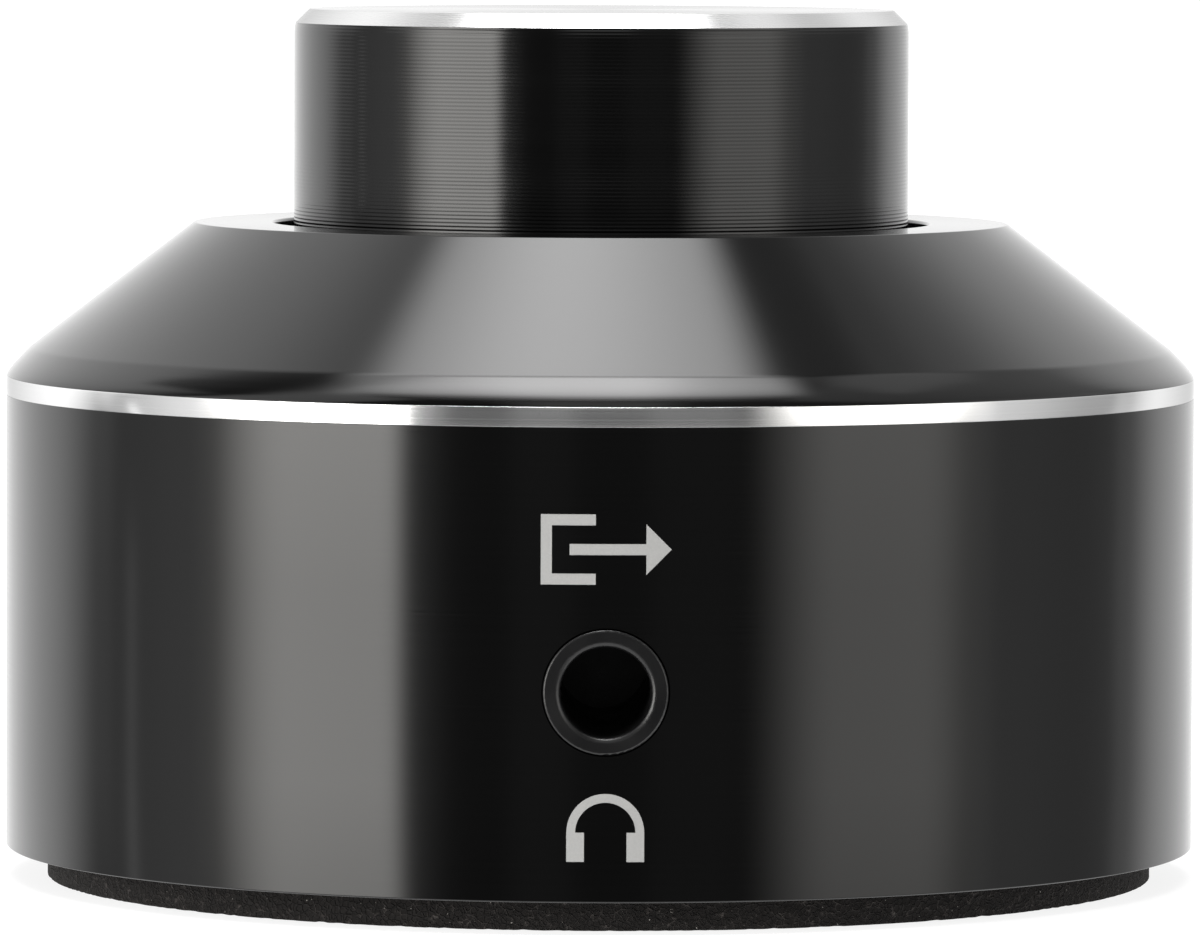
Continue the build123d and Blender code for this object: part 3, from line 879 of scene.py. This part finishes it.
def make_mark(name, shapes, front):
    """Thin film shapes, cut in slices and bent round the wall."""
    mesh = bmesh.new()
    for shape in shapes:
        mesh.faces.new([mesh.verts.new((x, 0, z)) for x, z in shape])
    cuts = int(OUT_MARK_WIDTH / MARK_SLICE)
    for cut in range(-cuts, cuts):
        everything = mesh.verts[:] + mesh.edges[:] + mesh.faces[:]
        middle = ((cut + 0.5) * MARK_SLICE, 0, 0)
        bmesh.ops.bisect_plane(
            mesh, geom=everything, plane_co=middle, plane_no=(1, 0, 0), dist=1e-6
        )
    sunk = bmesh.ops.extrude_face_region(mesh, geom=mesh.faces[:])["geom"]
    for vertex in [item for item in sunk if isinstance(item, bmesh.types.BMVert)]:
        vertex.co.y = MARK_DEPTH
    side = 1 if front else -1
    for vertex in mesh.verts:
        across = vertex.co.x * MM
        radius = BODY_RADIUS - SKIN - vertex.co.y
        depth = math.sqrt(radius**2 - across**2)
        vertex.co = Vector((side * across, -side * depth, JACK_HEIGHT + vertex.co.z * MM))
    finish_mesh(name, mesh, [PRINT], "case")


# Knob
def make_knob():
    """The knob, its wall eased in under a bright chamfer."""
    pocket_top = INSERT_LOW + INSERT_FLANGE
    bore_top = INSERT_HIGH + INSERT_GAP
    ease = KNOB_EASE_HEIGHT / (1 + math.cos(KNOB_EASE_TILT))
    ease_round = ease / math.tan(KNOB_EASE_TILT / 2)
    ease_corner = ease * math.cos(KNOB_EASE_TILT)
    chamfer_low = KNOB_HIGH - KNOB_CHAMFER
    chamfer_radius = KNOB_RADIUS - ease * math.sin(KNOB_EASE_TILT)
    top_radius = chamfer_radius - KNOB_CHAMFER
    # The ease's rounding ends a hair before the chamfer starts
    corners = [
        (KNOB_POCKET, KNOB_LOW, 0),
        (KNOB_RADIUS - KNOB_FOOT_BREAK, KNOB_LOW, 0),
        (KNOB_RADIUS, KNOB_LOW + KNOB_FOOT_BREAK, 0),
        (KNOB_RADIUS, chamfer_low - ease_corner, 0.999 * ease_round),
        (chamfer_radius, chamfer_low, 0),
        (top_radius, KNOB_HIGH, KNOB_TOP_ROUND),
        (0, KNOB_HIGH, 0),
        (0, bore_top, 0),
        (KNOB_BORE, bore_top, 0),
        (KNOB_BORE, pocket_top, 0),
        (KNOB_POCKET, pocket_top, 0),
    ]
    mesh = turned_mesh(held(rounded(corners)))
    for face in mesh.faces:
        place = face.calc_center_median()
        radius = math.hypot(place.x, place.y)
        on_chamfer = place.z > chamfer_low and radius > top_radius - KNOB_TOP_ROUND
        on_top = place.z > KNOB_HIGH - KNOB_TOP_ROUND and not on_chamfer
        face.material_index = 1 if on_chamfer else 2 if on_top else 0
    finishes = [KNOB_BLACK, CHAMFER_BRIGHT, KNOB_TOP_BLACK]
    finish_mesh("knob_shell", mesh, finishes, "knob_and_shaft", ["knob"])


# Studio
class Sky:
    """The world's nodes, with the place on the sky that a ray goes to."""

    def __init__(self, tree):
        self.tree = tree
        self.way = add(tree, "ShaderNodeTexCoord").outputs["Generated"]
        self.x, self.y, self.z = add(tree, "ShaderNodeSeparateXYZ", {0: self.way}).outputs
        toward_viewer = self.times(self.y, -1.0)
        self.turn = self.math("ARCTAN2", self.x, toward_viewer)
        self.climb = self.math("ARCTAN2", self.z, toward_viewer)
        roof = self.math("MAXIMUM", self.z, 0.05)
        self.roof_x = self.math("DIVIDE", self.x, roof)
        self.roof_y = self.math("DIVIDE", self.y, roof)

    def math(self, operation, first, second):
        return math_node(self.tree, operation, first, second)

    def times(self, first, second):
        return self.math("MULTIPLY", first, second)

    def even(self, value, low, high, to_low, to_high):
        return remap(self.tree, value, low, high, to_low, to_high)

    def soft(self, value, low, high, to_low, to_high):
        return remap(self.tree, value, low, high, to_low, to_high, smooth=True)

    def band(self, value, low, high, low_blur, high_blur):
        """1 between two limits, with a soft fall outside each of them."""
        rise = self.soft(value, low - low_blur, low, 0.0, 1.0)
        fall = self.soft(value, high, high + high_blur, 1.0, 0.0)
        return self.times(rise, fall)

    def arc(self, angle, limits):
        """A band of an angle, with its limits and blurs in degrees."""
        return self.band(angle, *[math.radians(limit) for limit in limits])

    def lit(self, strength, *masks):
        """A light's strength where all its masks are 1."""
        level = strength
        for mask in masks:
            level = self.times(mask, level)
        return level


def backdrop(sky):
    """White behind, with a dimmer gap high on the left."""
    sockets = {0: sky.way, 1: BACKDROP_FACING}
    lean = add(sky.tree, "ShaderNodeVectorMath", sockets, operation="DOT_PRODUCT")
    corner = sky.times(sky.times(sky.x, sky.z), 0.22)
    behind = sky.math("SUBTRACT", lean.outputs["Value"], corner)
    across = sky.even(sky.x, -0.4, 0.4, BACKDROP_LEFT, BACKDROP_RIGHT)
    brightest = sky.lit(across, sky.even(sky.z, 0.45, 0.75, 1.0, BACKDROP_TOP_GAIN))
    edge = sky.even(sky.z, 0.0, 0.3, 0.28, 0.26)
    slant = sky.math("ADD", sky.roof_y, sky.times(sky.roof_x, 1.2))
    gap_side = sky.band(sky.roof_x, -0.92, -0.52, 0.15, 0.06)
    in_gap = sky.lit(BACKDROP_GAP, gap_side, sky.soft(slant, -0.4, -0.36, 1.0, 0.0))
    past_gap = sky.math("SUBTRACT", 1.0, in_gap)
    low_back = sky.soft(sky.z, -0.5, -0.15, 0.4, 1.0)
    return sky.lit(past_gap, low_back, sky.soft(behind, edge, 0.7, 0.0, brightest))


def box_height(sky):
    """How a softbox beside the object fades below and above."""
    upright = sky.band(sky.z, -0.25, 0.2, 0.2, 0.35)
    return sky.times(upright, sky.even(sky.z, -0.3, 0.3, 0.68, 1.32))


def side_boxes(sky):
    """A bright softbox on the left, and a weaker one on the right."""
    height = box_height(sky)
    left = sky.lit(LEFT_BOX, sky.arc(sky.turn, LEFT_BOX_ARC), height)
    right = sky.lit(RIGHT_BOX, sky.arc(sky.turn, RIGHT_BOX_ARC), height)
    return sky.math("ADD", left, right)


def side_glow(sky):
    """Weak lights round the object: far left and right, the left box's tail, the front, a slit."""
    low_down = sky.soft(sky.z, 0.3, 0.6, 1.0, 0.0)
    nearer = sky.soft(sky.turn, math.radians(-108), math.radians(-84), *LEFT_FAR)
    farther = sky.soft(sky.turn, math.radians(80), math.radians(110), *RIGHT_FAR)
    slit_height = sky.band(sky.z, -0.4, -0.1, 0.1, 0.08)
    return [
        sky.lit(nearer, sky.arc(sky.turn, LEFT_FAR_ARC), low_down),
        sky.lit(farther, sky.arc(sky.turn, RIGHT_FAR_ARC), low_down),
        sky.lit(LEFT_TAIL, sky.arc(sky.turn, LEFT_TAIL_ARC), box_height(sky)),
        sky.lit(FRONT_LEFT, sky.arc(sky.turn, FRONT_LEFT_ARC)),
        sky.lit(FRONT_RIGHT, sky.arc(sky.turn, FRONT_RIGHT_ARC)),
        sky.lit(LEFT_SLIT, sky.arc(sky.turn, LEFT_SLIT_ARC), slit_height),
    ]


def overhead_box(sky):
    """The softbox above: slanted sides that fade, a bowed front edge and a dim seam."""
    from_left = sky.math("SUBTRACT", sky.roof_x, sky.times(sky.roof_y, 0.76))
    from_right = sky.math("ADD", sky.roof_x, sky.times(sky.roof_y, 0.53))
    left_side = sky.soft(from_left, -0.668, -0.508, 0.0, 1.0)
    right_side = sky.soft(from_right, 0.315, 0.435, 1.0, 0.0)
    left_fade = sky.soft(from_left, -0.62, -0.22, 0.4, 1.0)
    right_fade = sky.soft(from_right, 0.06, 0.36, 1.0, 0.62)
    bowed = sky.times(sky.times(sky.x, sky.x), 1.05)
    depth = sky.arc(sky.math("SUBTRACT", sky.climb, bowed), OVERHEAD_ARC)
    fore = sky.soft(sky.climb, math.radians(86), math.radians(98), 1.0, 0.0)
    middle = sky.lit(OVERHEAD_MIDDLE, sky.band(sky.x, -0.12, 0.05, 0.2, 0.16))
    gain = sky.lit(fore, sky.math("ADD", middle, OVERHEAD_FRONT))
    front = sky.math("ADD", gain, 1.0)
    in_seam = sky.lit(OVERHEAD_SEAM, sky.arc(sky.climb, OVERHEAD_SEAM_ARC))
    seam = sky.math("SUBTRACT", 1.0, in_seam)
    return sky.lit(OVERHEAD, left_side, right_side, left_fade, right_fade, depth, front, seam)


def front_top(sky):
    """A weak light high in front."""
    width = sky.band(sky.x, -0.12, 0.1, 0.2, 0.15)
    return sky.lit(FRONT_TOP, sky.arc(sky.climb, FRONT_TOP_ARC), width)


def surrounds(sky):
    """Panels of which the brightest counts: behind, right, high on the left, and below."""
    raised = sky.soft(sky.z, 0.1, 0.4, 0.0, 1.0)
    beside = sky.soft(sky.y, -0.45, -0.15, 0.0, 1.0)
    right_side = sky.soft(sky.x, 0.365, 0.415, 0.0, 1.0)
    in_front = sky.soft(sky.roof_y, 0.02, 0.2, 1.0, 0.0)
    left_height = sky.band(sky.z, 0.45, 0.87, 0.3, 0.03)
    return [
        backdrop(sky),
        sky.lit(RIGHT_WALL, right_side, raised, beside),
        sky.lit(LEFT_TOP, in_front, sky.arc(sky.turn, LEFT_TOP_ARC), left_height),
        sky.soft(sky.z, -0.6, -0.3, BELOW, 0.0),
    ]


def right_glow(sky):
    """Weak lights high on the right: a wide one, and a small one farther back."""
    raised = sky.soft(sky.z, 0.1, 0.4, 0.0, 1.0)
    small_width = sky.band(sky.x, 0.37, 0.52, 0.03, 0.06)
    small_depth = sky.band(sky.y, 0.1, 0.32, 0.06, 0.1)
    return [
        sky.lit(RIGHT_DIM, sky.soft(sky.x, 0.12, 0.26, 0.0, 1.0), raised),
        sky.lit(RIGHT_TOP, small_width, small_depth, raised),
    ]


def studio_world():
    """A light tent: white behind, dark in front, softboxes left, right and overhead."""
    world = bpy.data.worlds.new("studio")
    bpy.context.scene.world = world
    world.use_nodes = True
    tree = world.node_tree
    tree.nodes.clear()
    sky = Sky(tree)
    total = sky.even(sky.z, -0.25, -0.06, SURROUND_LOW, SURROUND_HIGH)
    for surround in surrounds(sky):
        total = sky.math("MAXIMUM", surround, total)
    for light in (*side_glow(sky), *right_glow(sky), front_top(sky), overhead_box(sky)):
        total = sky.math("ADD", light, total)
    cloth = add(tree, "ShaderNodeBackground", {"Color": WHITE, "Strength": total})
    boxes = add(tree, "ShaderNodeBackground", {"Color": BOX_WHITE, "Strength": side_boxes(sky)})
    tent = add(tree, "ShaderNodeAddShader", {0: cloth.outputs[0], 1: boxes.outputs[0]})
    white = add(tree, "ShaderNodeBackground", {"Color": WHITE, "Strength": 1.0})
    rays = add(tree, "ShaderNodeLightPath").outputs
    seen = sky.math("MAXIMUM", rays["Is Camera Ray"], rays["Is Transmission Ray"])
    mix = add(tree, "ShaderNodeMixShader", {0: seen, 1: tent.outputs[0], 2: white.outputs[0]})
    add(tree, "ShaderNodeOutputWorld", {"Surface": mix.outputs[0]})


def make_floor():
    """A white sheet that keeps the object's faint shadow."""
    half = FLOOR_HALF
    data = bpy.data.meshes.new("floor")
    corners = [(-half, -half, 0), (half, -half, 0), (half, half, 0), (-half, half, 0)]
    data.from_pydata(corners, [], [(0, 1, 2, 3)])
    material = bpy.data.materials.new("floor_white")
    material.use_nodes = True
    tree = material.node_tree
    tree.nodes.clear()
    glow = add(tree, "ShaderNodeEmission", {"Color": WHITE, "Strength": FLOOR_GLOW})
    sheet = add(tree, "ShaderNodeBsdfDiffuse", {"Color": FLOOR_GREY})
    both = add(tree, "ShaderNodeAddShader", {0: glow.outputs[0], 1: sheet.outputs[0]})
    add(tree, "ShaderNodeOutputMaterial", {"Surface": both.outputs[0]})
    data.materials.append(material)
    floor = bpy.data.objects.new("floor", data)
    bpy.context.scene.collection.objects.link(floor)
    floor.visible_glossy = False
    floor.visible_diffuse = False
    floor.visible_shadow = False


def make_camera():
    """The photograph's view: a long lens, a little above, turned a hair to one side."""
    yaw = math.atan2(-CAMERA_PLACE.x, -CAMERA_PLACE.y)
    ahead = math.cos(CAMERA_PITCH)
    forward = Vector((math.sin(yaw) * ahead, math.cos(yaw) * ahead, -math.sin(CAMERA_PITCH)))
    level = forward.cross(Vector((0, 0, 1))).normalized()
    upright = level.cross(forward)
    right = level * math.cos(CAMERA_ROLL) + upright * math.sin(CAMERA_ROLL)
    up = upright * math.cos(CAMERA_ROLL) - level * math.sin(CAMERA_ROLL)
    data = bpy.data.cameras.new("camera")
    data.sensor_width = CAMERA_SENSOR
    data.lens = CAMERA_LENS
    data.clip_start = 0.01
    data.clip_end = 20.0
    camera = bpy.data.objects.new("camera", data)
    bpy.context.scene.collection.objects.link(camera)
    turn = Matrix((right, up, -forward)).transposed().to_4x4()
    camera.matrix_world = Matrix.Translation(CAMERA_PLACE) @ turn
    bpy.context.scene.camera = camera


dress_frame()
make_pad()
make_body()
make_ring()
make_cover()
make_knob()
make_mark("output_mark", output_mark(), True)
make_mark("headphone_mark", headphone_mark(), True)
make_mark("input_mark", input_mark(), False)
studio_world()
make_floor()
make_camera()
bpy.context.scene.view_settings.view_transform = "Standard"

bpy.context.view_layer.update()
